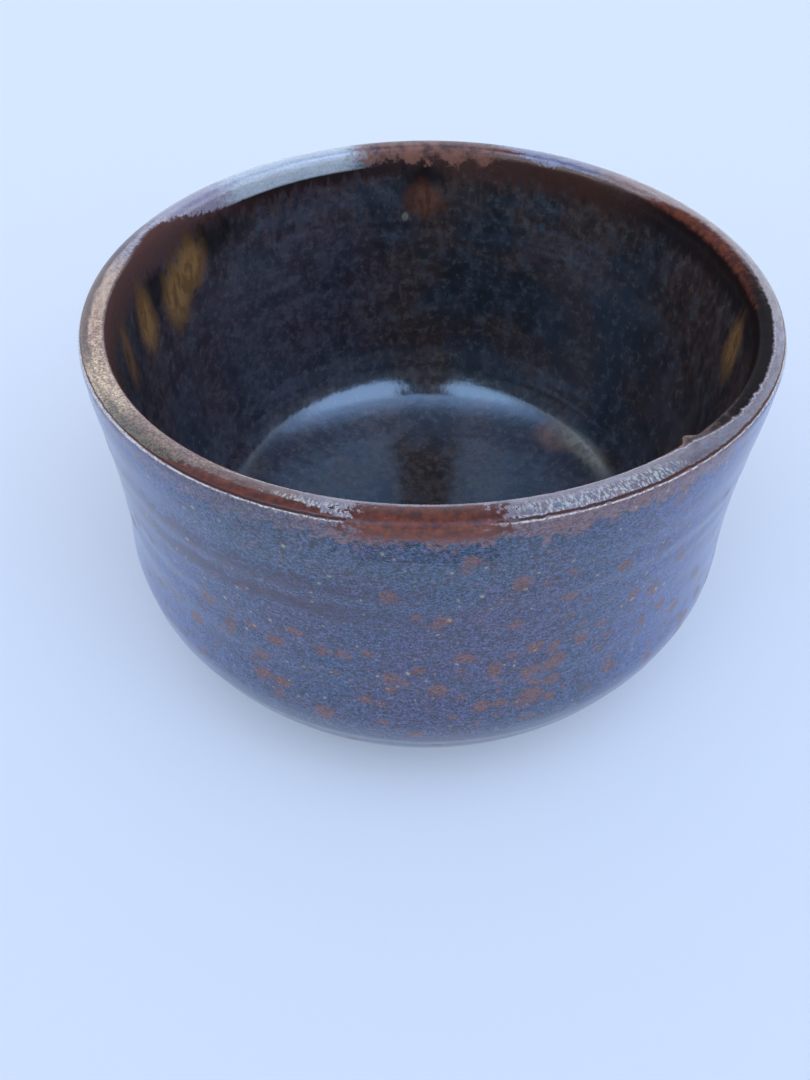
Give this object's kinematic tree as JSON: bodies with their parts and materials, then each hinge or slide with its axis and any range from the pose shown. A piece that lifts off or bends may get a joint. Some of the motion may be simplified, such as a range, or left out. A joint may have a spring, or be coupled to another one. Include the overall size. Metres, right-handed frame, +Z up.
{
  "type": "matcha bowl",
  "caption": "Round, nearly straight-sided stoneware tea bowl with a mottled slate-blue glaze, dark glazed inside and rust-broken lip, standing on a turned foot ring.",
  "frame": {"origin": "centre of the bowl's footprint, on the plane that the foot ring stands on", "axes": "+Z up along the bowl's turning axis, out of its mouth; +Y towards the back of the bowl as first seen, so -Y is its front with the rust patch on the lip; +X to its right"},
  "size_m": [0.1234, 0.1234, 0.078],
  "materials": {
    "fired_clay": "matte, slightly gritty fired stoneware",
    "outside_glaze": "glossy slate blue with violet and rust mottling and fine pale specks",
    "inside_glaze": "glossy blue-black with faint grey and ochre specks",
    "rim_glaze": "glossy rust brown broken with lilac, tan and cream"
  },
  "bodies": {
    "root": {"stoneware_body": "fired_clay", "foot_ring": "fired_clay", "outside_glaze": "outside_glaze", "inside_glaze": "inside_glaze", "rim_glaze": "rim_glaze"}
  },
  "joints": []
}
